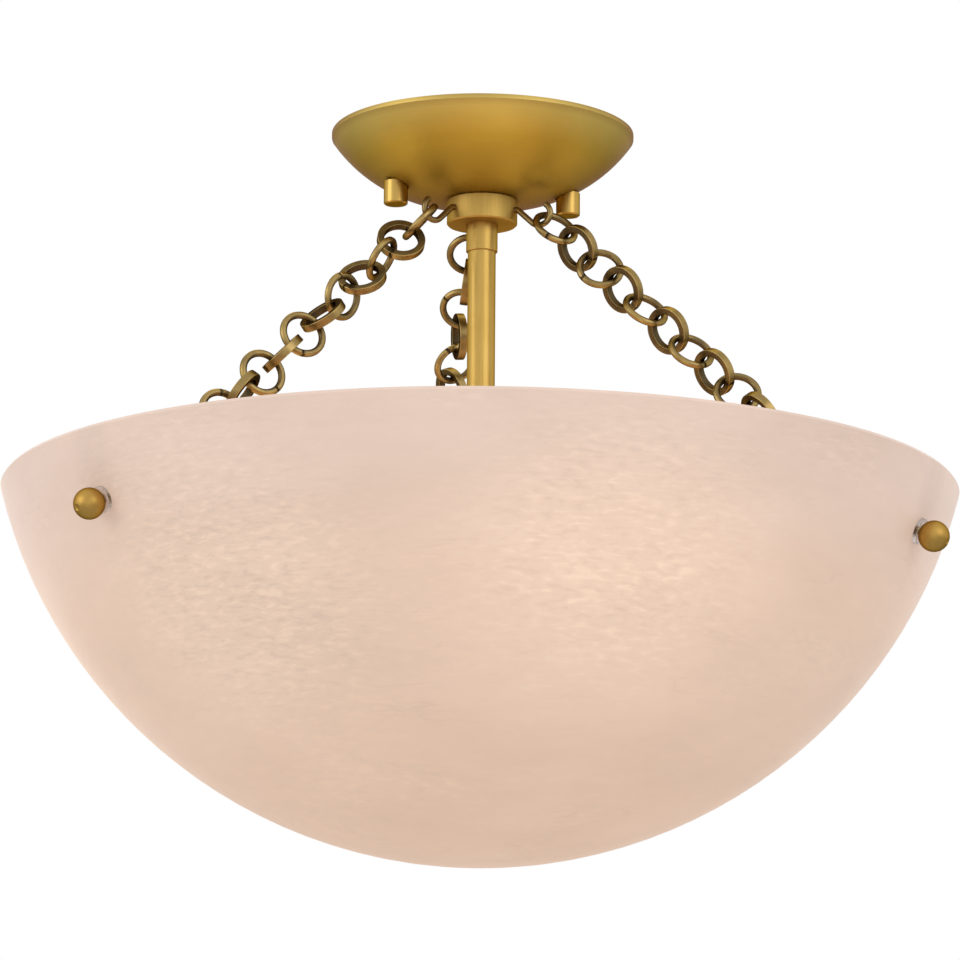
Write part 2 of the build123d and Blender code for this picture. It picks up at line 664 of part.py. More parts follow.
def main():
    os.makedirs("parts", exist_ok=True)
    save("mounting_plate", mounting_plate())
    save("canopy_studs", canopy_studs())
    save("stud_lock_nuts", stud_lock_nuts())
    save("ground_screw", ground_screw())
    save("canopy", canopy())
    save("hub_nipple", hub_nipple())
    save("nipple_washer", nipple_washer())
    save("nipple_lock_nut", nipple_lock_nut())
    save("hub", hub())
    save("stem_collar", stem_collar())
    save("stem_tube", stem_tube())
    save("cluster_body", cluster_body())
    save("cluster_cover", cluster_cover())
    save("cluster_rod", cluster_rod())
    save("cluster_finial", cluster_finial())
    save("alabaster_bowl", alabaster_bowl())
    save("inner_washers", inner_washers())
    save("inner_nuts", inner_nuts())
    save("outer_washers", outer_washers())
    for side, azimuth in KNOB_AZIMUTHS.items():
        save(f"canopy_knob_{side}", canopy_knob(azimuth))
    for side, azimuth in CHAIN_AZIMUTHS.items():
        save(f"hub_hook_{side}", hub_hook(azimuth))
        save(f"chain_{side}", chain(side))
        save(f"eye_bolt_{side}", eye_bolt(side))
        save(f"ball_finial_{side}", ball_finial(azimuth))
    for number, azimuth in enumerate(ARM_AZIMUTHS, start=1):
        save(f"socket_nipple_{number}", socket_nipple(azimuth))
        save(f"lampholder_{number}", lampholder(azimuth))
        save(f"screw_shell_{number}", screw_shell(azimuth))
        save(f"centre_contact_{number}", centre_contact(azimuth))
        save(f"bulb_cap_{number}", bulb_cap(azimuth))
        save(f"bulb_glass_{number}", bulb_glass(azimuth))


if __name__ == "__main__":
    main()
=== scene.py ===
"""Alabaster semi flush light: close-up meshes and finishes on the CAD frame, in a plain studio."""

import logging
import math
from collections.abc import Mapping, Sequence
from dataclasses import dataclass
from enum import Enum

import bmesh
import bpy
from mathutils import Matrix, Vector


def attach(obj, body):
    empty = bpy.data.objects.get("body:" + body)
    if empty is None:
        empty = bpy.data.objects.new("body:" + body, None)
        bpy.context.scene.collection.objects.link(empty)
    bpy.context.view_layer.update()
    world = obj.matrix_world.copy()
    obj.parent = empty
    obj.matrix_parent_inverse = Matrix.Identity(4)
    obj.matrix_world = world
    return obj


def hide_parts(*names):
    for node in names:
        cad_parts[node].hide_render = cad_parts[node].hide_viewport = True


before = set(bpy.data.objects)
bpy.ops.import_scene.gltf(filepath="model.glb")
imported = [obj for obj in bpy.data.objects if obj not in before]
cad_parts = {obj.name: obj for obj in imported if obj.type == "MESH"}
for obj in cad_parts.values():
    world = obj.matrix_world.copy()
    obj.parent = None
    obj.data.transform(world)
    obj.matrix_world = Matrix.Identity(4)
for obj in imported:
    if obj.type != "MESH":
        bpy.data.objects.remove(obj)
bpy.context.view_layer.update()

MM = 0.001

log = logging.getLogger("semi_flush_light")

Colour = tuple[float, float, float]


class Side(Enum):
    """A chain, by where it comes down, with its azimuth from the front towards the right."""

    LEFT = -51.4
    RIGHT = 68.6
    BACK = 188.6

    @property
    def label(self) -> str:
        """The word that the CAD node names carry."""
        return self.name.lower()


class Arm(Enum):
    """A lamp's arm, with its azimuth."""

    FIRST = 18.6
    SECOND = 138.6
    THIRD = 258.6

    @property
    def number(self) -> int:
        """The number that the CAD node names carry."""
        return list(Arm).index(self) + 1


class Grain(Enum):
    """The way in which a brass piece was brushed."""

    ROUND = "round its axis"
    ALONG = "along its axis"


# Places in the frame


def outward(azimuth: float) -> Vector:
    """Level unit vector from the middle towards an azimuth in degrees."""
    angle = math.radians(azimuth)
    return Vector((math.sin(angle), -math.cos(angle), 0.0))


def sloping(azimuth: float, drop: float) -> Vector:
    """Unit vector that points outward at an azimuth and falls by an angle in degrees."""
    angle = math.radians(drop)
    return outward(azimuth) * math.cos(angle) - Vector((0.0, 0.0, math.sin(angle)))


def level_across(azimuth: float) -> Vector:
    """Level unit vector square to an azimuth."""
    return Vector((0.0, 0.0, 1.0)).cross(outward(azimuth))


def basis(origin: Vector, x_axis: Vector, z_axis: Vector) -> Matrix:
    """Matrix of a local frame.

    Args:
        origin: the frame's origin.
        x_axis: roughly the direction of its X, turned square to Z.
        z_axis: the direction of its Z.

    Returns:
        A matrix that takes local points to the row frame.
    """
    z = z_axis.normalized()
    x = (x_axis - z * x_axis.dot(z)).normalized()
    return Matrix.Translation(origin) @ Matrix((x, z.cross(x), z)).transposed().to_4x4()


def polar(radius: float, angle: float, height: float) -> Vector:
    """Point at a radius, an angle in radians and a height."""
    return Vector((radius * math.cos(angle), radius * math.sin(angle), height))


def arc(centre: Sequence[float], radius: float, start: float, sweep: float, steps: int) -> list[Vector]:
    """Points of an arc in a plane.

    Args:
        centre: the centre's two coordinates.
        radius: the arc's radius.
        start: the first angle in degrees.
        sweep: how far the arc goes on from there, in degrees.
        steps: the number of chords.

    Returns:
        The points as (x, y, 0) vectors, both ends included.
    """
    middle = Vector((*centre, 0.0))
    angles = [math.radians(start + sweep * i / steps) for i in range(steps + 1)]
    return [middle + polar(radius, angle, 0.0) for angle in angles]


# Meshes


class MeshDraft:
    """A piece's mesh while it is drawn, in millimetres, with a value of wear and painted shade at each
    point.
    """

    def __init__(self) -> None:
        """Starts with no points."""
        self.points: list[Vector] = []
        self.wear_and_shade: list[float] = []
        self.faces: list[list[int]] = []

    def skin(
        self,
        rows: Sequence[Sequence[Vector]],
        *,
        ring_rows: bool = True,
        ring_columns: bool = False,
        capped: bool = False,
        wear_and_shade: Sequence[float] | None = None,
    ) -> None:
        """Adds quads between rows of points.

        Args:
            rows: rows of the same length.
            ring_rows: whether each row closes on itself.
            ring_columns: whether the last row joins the first.
            capped: whether the first and last rows are filled in.
            wear_and_shade: a value for each point of a row, from 0 worn into to 1 rubbed bright, and
                lower where shade is painted.
        """
        first = len(self.points)
        width = len(rows[0])
        for row in rows:
            self.points.extend(row)
            self.wear_and_shade.extend(wear_and_shade or [0.5] * width)
        row_pairs = len(rows) if ring_columns else len(rows) - 1
        column_pairs = width if ring_rows else width - 1
        for i in range(row_pairs):
            low = first + i * width
            high = first + (i + 1) % len(rows) * width
            for j in range(column_pairs):
                k = (j + 1) % width
                self.faces.append([low + j, low + k, high + k, high + j])
        if capped:
            last = first + (len(rows) - 1) * width
            self.faces.append([first + j for j in reversed(range(width))])
            self.faces.append([last + j for j in range(width)])

    def turned(self, outline: Sequence[Sequence[float]], place: Matrix, sides: int = 72) -> None:
        """Adds a turned piece.

        Args:
            outline: (radius, height) points from one end to the other.
            place: the frame whose Z is the axis.
            sides: the number of points round the axis.
        """
        turns = [math.tau * j / sides for j in range(sides)]
        self.skin([[place @ polar(r, turn, h) for turn in turns] for r, h in outline])

    def threaded(
        self,
        radius: float,
        depth: float,
        pitch: float,
        low: float,
        high: float,
        place: Matrix,
        sides: int = 48,
    ) -> None:
        """Adds a screw thread that runs out to plain ends.

        Args:
            radius: radius over the thread.
            depth: depth of the thread.
            pitch: distance between two turns.
            low: height of the first end.
            high: height of the other end.
            place: the frame whose Z is the axis.
            sides: the number of points round the axis.
        """
        fewest_rows, rows_per_turn = 8, 10
        steps = max(fewest_rows, round((high - low) / pitch * rows_per_turn))
        turns = [j / sides for j in range(sides)]
        rows = []
        for i in range(steps + 1):
            height = low + (high - low) * i / steps
            fade = min(1.0, (height - low) / pitch, (high - height) / pitch)
            row = []
            for turn in turns:
                wave = 0.5 - 0.5 * math.cos(math.tau * ((height - low) / pitch - turn))
                crest = radius - depth * (1.0 - fade * wave)
                row.append(place @ polar(crest, math.tau * turn, height))
            rows.append(row)
        self.skin(rows)

    def wire(
        self,
        path: Sequence[Vector],
        radius: float,
        *,
        sides: int = 20,
        closed: bool = False,
    ) -> None:
        """Adds round wire along a path, with eased ends where it is open.

        Args:
            path: points of the wire's middle line.
            radius: the wire's radius.
            sides: the number of points round the wire.
            closed: whether the path runs back to its start.
        """
        count = len(path)
        axes = []
        for i in range(count):
            before = path[i - 1] if closed or i else path[0]
            after = path[(i + 1) % count] if closed or i < count - 1 else path[-1]
            axes.append((after - before).normalized())
        across = axes[0].orthogonal().normalized()
        turns = [math.tau * j / sides for j in range(sides)]
        rows = []
        for point, axis in zip(path, axes):
            across = (across - axis * across.dot(axis)).normalized()
            up = axis.cross(across)
            rows.append([point + (across * math.cos(a) + up * math.sin(a)) * radius for a in turns])
        if not closed:
            tip_share, tip_reach = 0.72, radius * 0.25
            for end, way in ((0, -1.0), (-1, 1.0)):
                middle, axis = path[end], axes[end] * way
                tip = [middle + (p - middle) * tip_share + axis * tip_reach for p in rows[end]]
                rows.insert(0 if end == 0 else len(rows), tip)
        self.skin(rows, ring_columns=closed, capped=not closed)

    def piece(
        self,
        name: str,
        finish: "Finish",
        body: str,
        *,
        slot: str,
        stands_for: Sequence[str] = (),
        place: Matrix | None = None,
        sharp: float = 35.0,
        flats: bool = False,
    ) -> bpy.types.Object:
        """Makes the object and hangs it on its body.

        Args:
            name: the object's name.
            finish: what the piece is dressed in.
            body: the CAD body that it rides on.
            slot: the record's material slot; not used.
            stands_for: the CAD nodes that it takes the place of.
            place: the object's own frame in metres, where its points are local.
            sharp: the angle in degrees from which an edge stays sharp.
            flats: whether large faces keep flat shading up to their eased edges.

        Returns:
            The new object.
        """
        mesh = bpy.data.meshes.new(name)
        mesh.from_pydata([p * MM for p in self.points], [], self.faces)
        values = mesh.attributes.new("wear_and_shade", "FLOAT", "POINT")
        values.data.foreach_set("value", self.wear_and_shade)
        work = bmesh.new()
        work.from_mesh(mesh)
        bmesh.ops.remove_doubles(work, verts=work.verts, dist=1e-6)
        bmesh.ops.dissolve_degenerate(work, edges=work.edges, dist=1e-7)
        bmesh.ops.recalc_face_normals(work, faces=work.faces)
        work.to_mesh(mesh)
        work.free()
        mesh.shade_smooth()
        mesh.set_sharp_from_angle(angle=math.radians(sharp))
        mesh.materials.append(finish.material())
        piece = bpy.data.objects.new(name, mesh)
        bpy.context.scene.collection.objects.link(piece)
        if place is not None:
            piece.matrix_world = place
        if flats:
            piece.modifiers.new("flats", "WEIGHTED_NORMAL").keep_sharp = True
        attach(piece, body)
        if stands_for:
            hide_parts(*stands_for)
        log.info("built %s with %d faces on %s", name, len(mesh.polygons), body)
        return piece


def metres(place: Matrix) -> Matrix:
    """Takes a frame from millimetres to metres.

    Args:
        place: the frame in millimetres.

    Returns:
        The same frame with its origin in metres.
    """
    scaled = place.copy()
    scaled.translation = place.translation * MM
    return scaled


def dress(finish: "Finish", *nodes: str) -> None:
    """Gives CAD nodes their finish.

    Args:
        finish: what they are dressed in.
        nodes: the names of the nodes.
    """
    for node in nodes:
        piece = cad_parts[node]
        piece.data.materials.clear()
        piece.data.materials.append(finish.material())
        log.info("dressed %s in %s", node, finish.material().name)


# Shader expressions


class Val:
    """A socket in an expression; each operator adds a Math node."""

    def __init__(self, net: "Net", socket: bpy.types.NodeSocket) -> None:
        """Keeps the socket and the net that it belongs to."""
        self.net = net
        self.socket = socket

    def maths(self, operation: str, first: "Number", second: "Number" = 0.0) -> "Val":
        """Adds one Math node."""
        return self.net.node("ShaderNodeMath", {"operation": operation}, {0: first, 1: second})

    def __add__(self, other: "Number") -> "Val":
        """Sum."""
        return self.maths("ADD", self, other)

    def __radd__(self, other: "Number") -> "Val":
        """Sum with a number in front."""
        return self.maths("ADD", other, self)

    def __sub__(self, other: "Number") -> "Val":
        """Difference."""
        return self.maths("SUBTRACT", self, other)

    def __rsub__(self, other: "Number") -> "Val":
        """Difference from a number in front."""
        return self.maths("SUBTRACT", other, self)

    def __mul__(self, other: "Number") -> "Val":
        """Product."""
        return self.maths("MULTIPLY", self, other)

    def __rmul__(self, other: "Number") -> "Val":
        """Product with a number in front."""
        return self.maths("MULTIPLY", other, self)

    def __truediv__(self, other: "Number") -> "Val":
        """Quotient."""
        return self.maths("DIVIDE", self, other)

    def __pow__(self, other: "Number") -> "Val":
        """Power."""
        return self.maths("POWER", self, other)

    def size(self) -> "Val":
        """The value without its sign."""
        return self.maths("ABSOLUTE", self)

    def between(self, low: float, high: float, start: float = 0.0, end: float = 1.0) -> "Val":
        """Smooth step: start at low and below, end at high and above."""
        sockets = {"Value": self, "From Min": low, "From Max": high, "To Min": start, "To Max": end}
        return self.net.node("ShaderNodeMapRange", {"interpolation_type": "SMOOTHSTEP"}, sockets)


Number = Val | float


class Net:
    """The nodes of one material or world."""

    def __init__(self, tree: bpy.types.NodeTree) -> None:
        """Starts from an empty tree."""
        self.tree = tree
        tree.nodes.clear()

    def node(
        self,
        kind: str,
        settings: Mapping[str, object] | None = None,
        sockets: Mapping[str | int, object] | None = None,
        output: str | int = 0,
    ) -> Val:
        """Adds a node.

        Args:
            kind: the node's type.
            settings: its properties, or the stops of a ramp, which are set first.
            sockets: values or links of its inputs, by name or number.
            output: the output that is wanted.

        Returns:
            That output.
        """
        made = self.tree.nodes.new(kind)
        for name, value in (settings or {}).items():
            if name == "stops":
                self.set_stops(made.color_ramp, value)
            else:
                setattr(made, name, value)
        for name, value in (sockets or {}).items():
            socket = made.inputs[name]
            if isinstance(value, Val):
                self.tree.links.new(value.socket, socket)
            elif socket.type == "RGBA":
                socket.default_value = (*value, 1.0)
            else:
                socket.default_value = value
        return Val(self, made.outputs[output]) if made.outputs else Val(self, None)

    @staticmethod
    def set_stops(ramp: bpy.types.ColorRamp, stops: Sequence[tuple[float, Colour]]) -> None:
        """Gives a ramp its stops.

        Args:
            ramp: the ramp.
            stops: a place from 0 to 1 and a colour for each stop.
        """
        while len(ramp.elements) < len(stops):
            ramp.elements.new(1.0)
        for element, (place, colour) in zip(ramp.elements, stops):
            element.position = place
            element.color = (*colour, 1.0)

    def mix(self, factor: Number, first: object, second: object, blend: str = "MIX") -> Val:
        """Mixes two colours."""
        settings = {"data_type": "RGBA", "blend_type": blend}
        return self.node("ShaderNodeMix", settings, {0: factor, 6: first, 7: second}, 2)

    def vector(self, operation: str, first: object, second: object) -> Val:
        """Adds one Vector Math node."""
        return self.node("ShaderNodeVectorMath", {"operation": operation}, {0: first, 1: second})

    def scaled(self, first: object, factor: Number) -> Val:
        """A vector or a colour times a value."""
        settings = {"operation": "SCALE"}
        return self.node("ShaderNodeVectorMath", settings, {0: first, "Scale": factor})

    def dot(self, first: Val, second: Vector) -> Val:
        """Dot product with a fixed vector."""
        settings = {"operation": "DOT_PRODUCT"}
        return self.node("ShaderNodeVectorMath", settings, {0: first, 1: tuple(second)}, "Value")

    def distance(self, first: Val, second: Vector) -> Val:
        """Distance from a fixed point."""
        settings = {"operation": "DISTANCE"}
        return self.node("ShaderNodeVectorMath", settings, {0: first, 1: tuple(second)}, "Value")

    def place(self) -> Val:
        """The point on the surface, in the object's own frame in metres."""
        return self.node("ShaderNodeTexCoord", output="Object")

    def other(self, value: Val, output: str | int) -> Val:
        """Another output of the node that a value comes from."""
        return Val(self, value.socket.node.outputs[output])

    def parts(self, vector: Val) -> tuple[Val, Val, Val]:
        """The three coordinates of a vector."""
        split = self.node("ShaderNodeSeparateXYZ", sockets={0: vector})
        return tuple(self.other(split, i) for i in range(3))

    def joined(self, x: Number, y: Number, z: Number) -> Val:
        """A vector of three coordinates."""
        return self.node("ShaderNodeCombineXYZ", sockets={0: x, 1: y, 2: z})

    def noise(self, where: Val, scale: float, detail: float = 3.0, warp: float = 0.0) -> Val:
        """Noise from 0 to 1 at a place.

        Args:
            where: the coordinates.
            scale: cells for each unit of length.
            detail: the number of finer layers.
            warp: how far the pattern is distorted.

        Returns:
            The value.
        """
        sockets = {"Vector": where, "Scale": scale, "Detail": detail, "Distortion": warp}
        return self.node("ShaderNodeTexNoise", {"noise_dimensions": "3D"}, sockets)

    def bump(self, height: Val, strength: float, depth: float) -> Val:
        """A normal bent by a height.

        Args:
            height: the height from 0 to 1.
            strength: the share of the bend that shows.
            depth: what a height of 1 stands for, in metres.

        Returns:
            The normal.
        """
        sockets = {"Height": height, "Strength": strength, "Distance": depth}
        return self.node("ShaderNodeBump", sockets=sockets)

    def surface(self, sockets: Mapping[str | int, object]) -> None:
        """Ends the net with a Principled surface."""
        shader = self.node("ShaderNodeBsdfPrincipled", sockets=sockets)
        self.node("ShaderNodeOutputMaterial", sockets={"Surface": shader})


# Finishes


class Finish:
    """A finish that makes its material once and keeps it."""

    made: dict["Finish", bpy.types.Material] = {}

    def material(self) -> bpy.types.Material:
        """Makes the finish's material at its first use.

        Returns:
            The material.
        """
        if self not in Finish.made:
            material = bpy.data.materials.new(self.label())
            material.use_nodes = True
            self.paint(Net(material.node_tree))
            Finish.made[self] = material
        return Finish.made[self]

    def label(self) -> str:
        """The material's name."""
        return type(self).__name__

    def paint(self, net: Net) -> None:
        """Draws the finish's nodes in the net of its material."""
        raise NotImplementedError


@dataclass(frozen=True)
class BrushedBrass(Finish):
    """Lacquered brass with fine brushing lines round or along an upright axis.

    The ramp's stops paint shade by height: each is a share of the drop below the frame's top and what is
    left there of the colour.
    """

    grain: Grain
    axis: tuple[float, float] = (0.0, 0.0)
    bright: Colour = (0.60, 0.40, 0.115)
    deep: Colour = (0.42, 0.255, 0.058)
    roughness: float = 0.40
    lines: float = 1.0
    limb: Colour = (0.22, 0.18, 0.12)
    drop: float = 1.0
    ages: tuple[tuple[float, Colour], ...] = ((0.0, (1.0, 1.0, 1.0)), (1.0, (1.0, 1.0, 1.0)))

    def label(self) -> str:
        """The material's name, with its grain and its axis in millimetres."""
        spot = f"{self.axis[0] / MM:.0f} {self.axis[1] / MM:.0f}"
        return f"brushed brass {self.grain.value} {spot} {self.roughness:.2f}"

    def strokes(self, net: Net, where: Val) -> Val:
        """Draws the brushing lines in cylinder coordinates.

        Args:
            net: the material's nodes.
            where: the point, from the axis.

        Returns:
            The lines, from 0 to 1.
        """
        x, y, z = net.parts(where)
        radius = (x * x + y * y) ** 0.5
        turn = x.maths("ARCTAN2", y, x)
        if self.grain is Grain.ROUND:
            broad = net.joined(radius * 2600, z * 2600, turn * 0.9)
            fine = net.joined(radius * 9000, z * 9000, turn * 3)
        else:
            broad = net.joined(turn * 26, z * 22, 0.0)
            fine = net.joined(turn * 90, z * 60, 3.0)
        return net.noise(broad, 1.0, 2.0) * 0.6 + net.noise(fine, 1.0, 1.0) * 0.4

    def paint(self, net: Net) -> None:
        """Draws the lines, a faint cloud over them and painted shade by height.

        Args:
            net: the material's nodes.
        """
        where = net.vector("SUBTRACT", net.place(), (*self.axis, 0.0))
        lines = self.strokes(net, where)
        cloud = net.noise(where, 55.0, 2.0)
        tone = (lines - 0.5) * (1.6 * self.lines) + (cloud - 0.5) * 0.5 + 0.55
        fallen = net.parts(where)[2] / -self.drop
        # Painted shade: this ramp darkens the base colour by height.
        aged = net.node("ShaderNodeValToRGB", {"stops": self.ages}, {"Fac": fallen})
        brass = net.mix(tone.between(0.0, 1.0), self.deep, self.bright)
        net.surface(
            {
                "Base Color": net.mix(1.0, brass, aged, "MULTIPLY"),
                "Metallic": 1.0,
                "Roughness": self.roughness + (lines - 0.5) * 0.12,
                "Specular Tint": self.limb,
                "Normal": net.bump(lines, 0.12 * self.lines, 0.00006),
            }
        )


@dataclass(frozen=True)
class AgedBrass(Finish):
    """Brass browned with age, rubbed bright where it is handled, and brown where shade is painted on it.
    """

    name: str = "aged brass"
    rubbed: Colour = (0.47, 0.325, 0.115)
    brown: Colour = (0.10, 0.072, 0.036)
    roughness: float = 0.30

    def label(self) -> str:
        """The material's name."""
        return self.name

    def paint(self, net: Net) -> None:
        """Draws browning that follows the points' values of wear and painted shade, with specks and fine
        scratches.

        Args:
            net: the material's nodes.
        """
        where = net.place()
        wear_and_shade = net.node("ShaderNodeAttribute", {"attribute_name": "wear_and_shade"}, output="Fac")
        cloud = net.noise(where, 140.0, 3.0)
        speck = net.noise(where, 1100.0, 2.0).between(0.62, 0.74)
        scratch = net.noise(net.vector("MULTIPLY", where, (1.0, 1.0, 6.0)), 700.0, 2.0)
        wear = wear_and_shade + (cloud - 0.5) * 0.55 + (scratch - 0.5) * 0.18 - speck * 0.12
        worn = wear.between(0.05, 1.0)
        net.surface(
            {
                "Base Color": net.mix(worn, self.brown, self.rubbed),
                "Metallic": 1.0,
                "Specular Tint": (0.06, 0.05, 0.04),
                "Roughness": self.roughness + 0.10 - worn * 0.10 + (scratch - 0.5) * 0.1,
                "Normal": net.bump(scratch * 0.7 - speck * 0.3, 0.12, 0.00006),
            }
        )


@dataclass(frozen=True)
class Alabaster(Finish):
    """Polished stone, lit from inside, with flecks, faint veins and a glow by each lamp."""

    glows: tuple[tuple[float, float, float], ...]
    bolt_azimuths: tuple[float, ...]
    rim: float
    foot: float
    bolt_height: float
    patches: tuple[tuple[float, float, float], ...] = (
        (-0.0946, -0.1423, -0.2278),
        (0.052, -0.1665, -0.2165),
    )
    stone: Colour = (0.61, 0.49, 0.41)

    def label(self) -> str:
        """The material's name."""
        return "alabaster"

    def glow(self, net: Net, where: Val) -> Val:
        """Draws how strongly the lamps behind the wall show: a broad spot by each.

        Args:
            net: the material's nodes.
            where: the point.

        Returns:
            The glow, 1 in the middle of a spot.
        """
        total: Number = 0.0
        for spot in self.glows:
            total = net.distance(where, Vector(spot)).between(0.0, 0.115, 1.0, 0.0) + total
        return total

    def bolt_shade(self, net: Net, where: Val, height: Val) -> Val:
        """Draws the faint upright shade that each chain's end casts through the wall.

        Args:
            net: the material's nodes.
            where: the point.
            height: the point's height.

        Returns:
            The shade, 1 where it is deepest.
        """
        total: Number = 0.0
        above = height.between(self.bolt_height - 0.010, self.bolt_height + 0.012)
        for azimuth in self.bolt_azimuths:
            aside = net.dot(where, level_across(azimuth)).size().between(0.003, 0.017, 1.0, 0.0)
            facing = net.dot(where, outward(azimuth)).between(0.0, 0.05)
            total = aside * facing + total
        return total * above

    def coarseness(self, net: Net, where: Val, laid: Val) -> Val:
        """Draws where the crystals are coarse: a little in clouds, and most in the patches.

        Args:
            net: the material's nodes.
            where: the point.
            laid: the point in the stone's flattened bedding.

        Returns:
            The coarseness, about 1 in the middle of a patch.
        """
        total: Number = net.noise(laid, 11.0, 2.0).between(0.50, 0.72) * 0.35
        for spot in self.patches:
            total = net.distance(where, Vector(spot)).between(0.02, 0.085, 1.0, 0.0) + total
        return total

    def veins(self, net: Net, where: Val, laid: Val) -> Val:
        """Draws thin level veins that come and go.

        Args:
            net: the material's nodes.
            where: the point.
            laid: the point in the stone's flattened bedding.

        Returns:
            The veins, 1 in the middle of one.
        """
        run = net.noise(net.vector("MULTIPLY", where, (0.45, 0.45, 4.5)), 34.0, 3.0, 0.8)
        shown = net.noise(laid, 22.0, 1.0).between(0.5, 0.65)
        return (run - 0.5).size().between(0.0, 0.012, 1.0, 0.0) * shown

    def paint(self, net: Net) -> None:
        """Draws the stone's own colour and the light that comes through it.

        Args:
            net: the material's nodes.
        """
        where = net.place()
        height = net.parts(where)[2]
        rise = (height - self.foot) / (self.rim - self.foot)
        laid = net.vector("MULTIPLY", where, (1.0, 1.0, 2.6))
        streaked = net.vector("MULTIPLY", where, (1.0, 1.0, 3.6))
        cloud = net.noise(laid, 15.0, 3.0, 0.3)
        fine = net.noise(streaked, 60.0, 4.0, 0.2)
        crystal = net.noise(streaked, 165.0, 3.0, 0.35)
        grit = net.noise(where, 900.0, 2.0)
        coarse, vein = self.coarseness(net, where, laid), self.veins(net, where, laid)
        flecks = crystal.between(0.50, 0.72) * 0.6 - crystal.between(0.30, 0.48, 1.0, 0.0) * 0.4
        flecks = flecks * (coarse * 0.11 + 0.012)
        light = (
            0.335
            + self.glow(net, where) * 0.125
            + (cloud - 0.5) * 0.09
            + (fine - 0.5) * 0.045
            + flecks
            - vein * 0.02
            - rise.between(0.55, 1.0) * 0.02
            - self.bolt_shade(net, where, height) * 0.05
        )
        warm = net.mix(rise.between(0.0, 0.45), (1.0, 0.60, 0.365), (1.0, 0.655, 0.455))
        tint = net.mix(rise.between(0.55, 0.98) + (cloud - 0.5) * 0.8, warm, (0.93, 0.665, 0.565))
        tint = net.mix(coarse * 0.45, tint, (1.0, 0.715, 0.50))
        tone = 1.0 + flecks * 0.8 + (cloud - 0.5) * 0.08 - vein * 0.04
        net.surface(
            {
                "Base Color": net.scaled(self.stone, tone),
                "Roughness": 0.42 + (grit - 0.5) * 0.12,
                "Emission Color": net.scaled(tint, light),
                "Emission Strength": 1.0,
                "Specular IOR Level": 0.35,
                "Normal": net.bump(crystal * 0.6 + grit * 0.4, 0.05, 0.0002),
            }
        )


@dataclass(frozen=True)
class ClearPlastic(Finish):
    """Clear moulded plastic with fine marks."""

    def label(self) -> str:
        """The material's name."""
        return "clear plastic"

    def paint(self, net: Net) -> None:
        """Draws a nearly clear body with a few rubbed marks.

        Args:
            net: the material's nodes.
        """
        marks = net.noise(net.place(), 700.0, 3.0)
        net.surface(
            {
                "Base Color": net.mix(marks, (0.93, 0.93, 0.92), (0.98, 0.98, 0.98)),
                "Roughness": 0.30 + marks * 0.12,
                "IOR": 1.22,
                "Transmission Weight": 1.0,
            }
        )


@dataclass(frozen=True)
class PlatedMetal(Finish):
    """Plated hardware: zinc, nickel or a coloured plating."""

    name: str
    light: Colour
    dark: Colour
    roughness: float = 0.32

    def label(self) -> str:
        """The material's name."""
        return self.name

    def paint(self, net: Net) -> None:
        """Draws the plating's cloudy crystals and small handling marks.

        Args:
            net: the material's nodes.
        """
        where = net.place()
        cloud = net.noise(where, 160.0, 3.0)
        marks = net.noise(where, 1500.0, 2.0)
        net.surface(
            {
                "Base Color": net.mix(cloud.between(0.3, 0.7), self.dark, self.light),
                "Metallic": 1.0,
                "Roughness": self.roughness + (cloud - 0.5) * 0.2 + (marks - 0.5) * 0.1,
                "Normal": net.bump(marks, 0.08, 0.00005),
            }
        )


@dataclass(frozen=True)
class Porcelain(Finish):
    """Glazed porcelain, with the glaze thin and warm in places."""

    def label(self) -> str:
        """The material's name."""
        return "porcelain"

    def paint(self, net: Net) -> None:
        """Draws a glossy glaze over a slightly uneven body.

        Args:
            net: the material's nodes.
        """
        where = net.place()
        cloud = net.noise(where, 70.0, 3.0)
        pits = net.noise(where, 1300.0, 1.0)
        net.surface(
            {
                "Base Color": net.mix(cloud, (0.80, 0.77, 0.70), (0.88, 0.86, 0.81)),
                "Roughness": 0.16 + pits * 0.10,
                "Coat Weight": 0.5,
                "Normal": net.bump(cloud * 0.8 + pits * 0.2, 0.10, 0.0002),
            }
        )


@dataclass(frozen=True)
class LitGlass(Finish):
    """Frosted bulb glass that is lit: warm white, a little brighter at its round end."""

    neck: float
    end: float

    def label(self) -> str:
        """The material's name."""
        return "frosted glass"

    def paint(self, net: Net) -> None:
        """Draws the coating's fine grain and the light behind it.

        Args:
            net: the material's nodes.
        """
        where = net.place()
        height = net.parts(where)[2]
        grain = net.noise(where, 1800.0, 2.0)
        lit = height.between(self.neck, self.end)
        net.surface(
            {
                "Base Color": net.mix(grain, (0.90, 0.88, 0.84), (0.96, 0.95, 0.92)),
                "Roughness": 0.30 + grain * 0.15,
                "Emission Color": net.mix(lit, (0.80, 0.60, 0.38), (1.0, 0.84, 0.62)),
                "Emission Strength": 1.3,
                "Normal": net.bump(grain, 0.06, 0.00005),
            }
        )


AGED_BRASS = AgedBrass()
BALL_BRASS = AgedBrass("satin brass", (0.49, 0.30, 0.075), (0.30, 0.175, 0.040), 0.44)
ZINC = PlatedMetal("zinc plate", (0.66, 0.66, 0.64), (0.46, 0.47, 0.47))
GREEN_PLATE = PlatedMetal("green plate", (0.10, 0.42, 0.18), (0.04, 0.24, 0.09))
CONTACT_METAL = PlatedMetal("contact metal", (0.78, 0.60, 0.28), (0.62, 0.44, 0.18), 0.25)
CAP_METAL = PlatedMetal("cap metal", (0.78, 0.78, 0.79), (0.60, 0.60, 0.62), 0.24)


# Sub-assemblies


